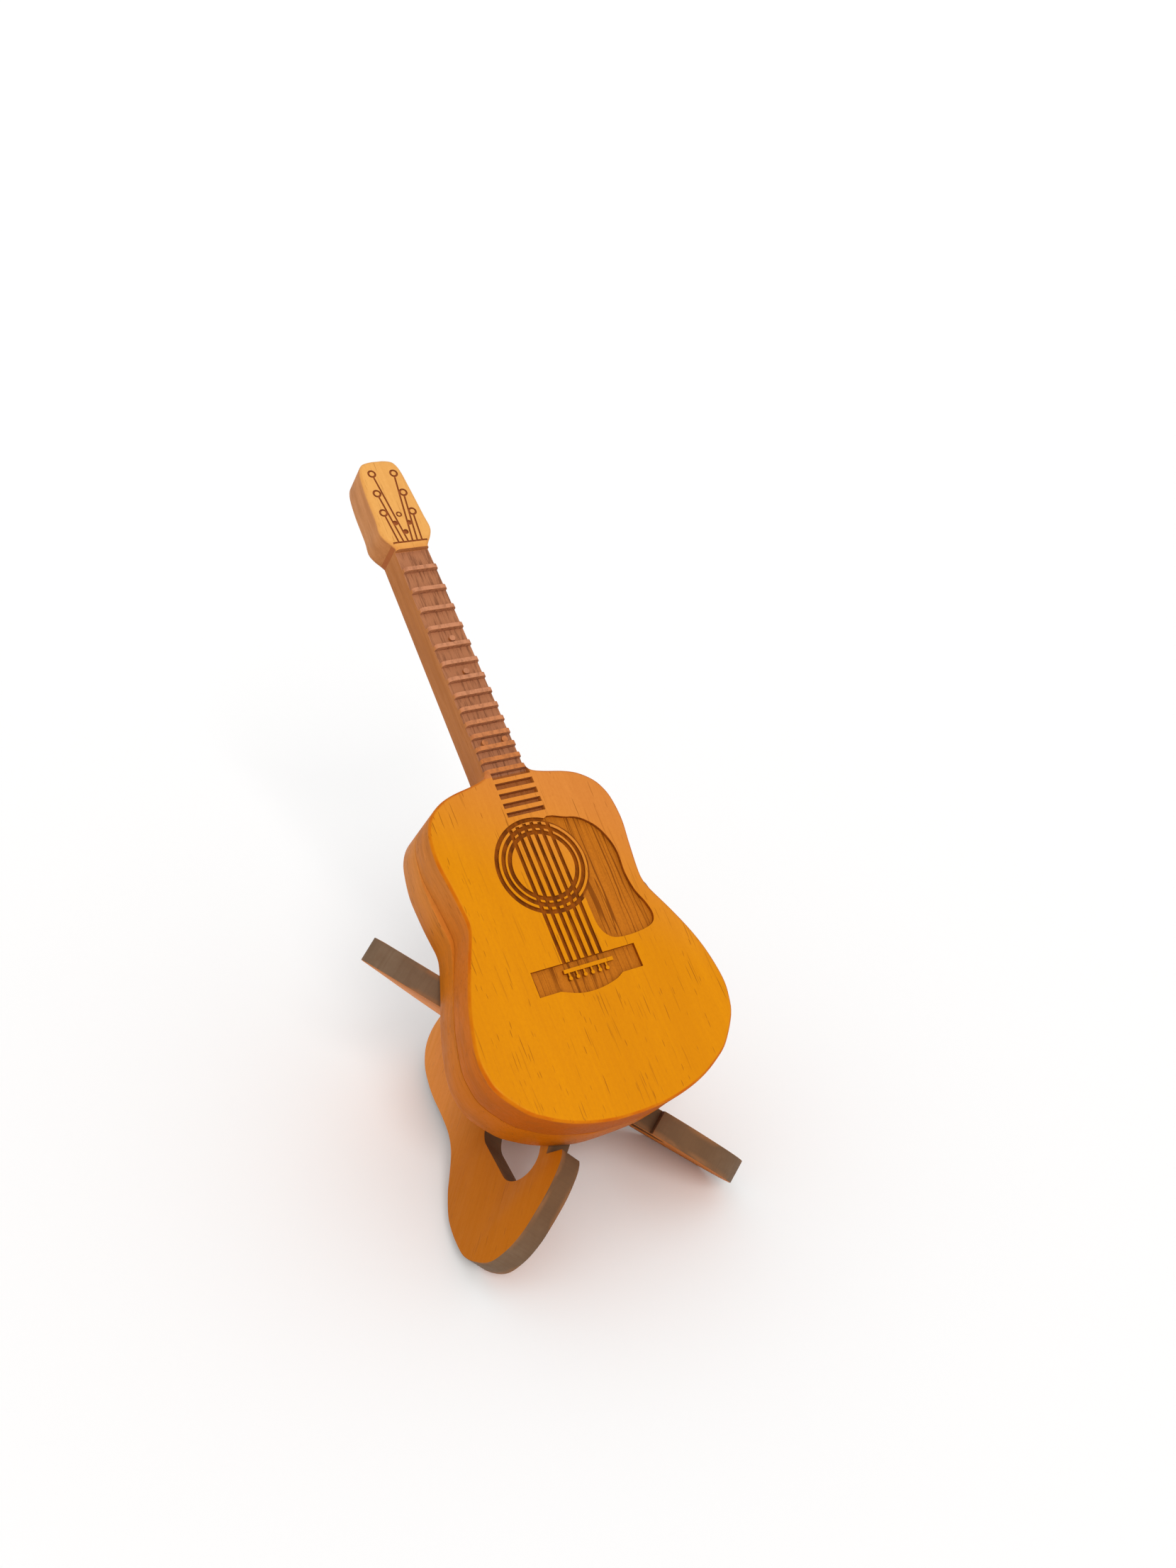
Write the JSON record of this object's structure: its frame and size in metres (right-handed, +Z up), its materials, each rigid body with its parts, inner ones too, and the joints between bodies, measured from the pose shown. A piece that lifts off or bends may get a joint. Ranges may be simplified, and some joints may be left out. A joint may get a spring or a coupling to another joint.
{
  "type": "guitar on stand",
  "caption": "Small carved wooden guitar that opens as a pick box, leaning back on a stand of two crossed slotted boards.",
  "frame": {"origin": "centre of the footprint box at floor level, under the whole object as it stands", "axes": "+Z up, -Y towards the carved front of the guitar, +X to the right as seen from the front; the guitar leans back towards +Y"},
  "size_m": [0.075, 0.1404, 0.1356],
  "materials": {
    "front_wood": "satin",
    "back_wood": "satin",
    "pin_steel": "brushed",
    "board_wood": "satin with charred cut edges"
  },
  "bodies": {
    "stand": {"stand_left_board": "board_wood", "stand_right_board": "board_wood"},
    "guitar": {"guitar_front": "front_wood", "pivot_pin": "pin_steel"},
    "tray": {"guitar_back": "back_wood"}
  },
  "joints": [
    {"name": "guitar_lift", "type": "slide", "parent": "stand", "child": "guitar", "axis": [0, 0, 1], "range_m": [0, 0.08]},
    {"name": "tray_swing", "type": "hinge", "parent": "guitar", "child": "tray", "pos_m": [0, -0.00523, 0.07089], "axis": [0, -0.5821, 0.8131], "range_deg": [0, 100]}
  ]
}
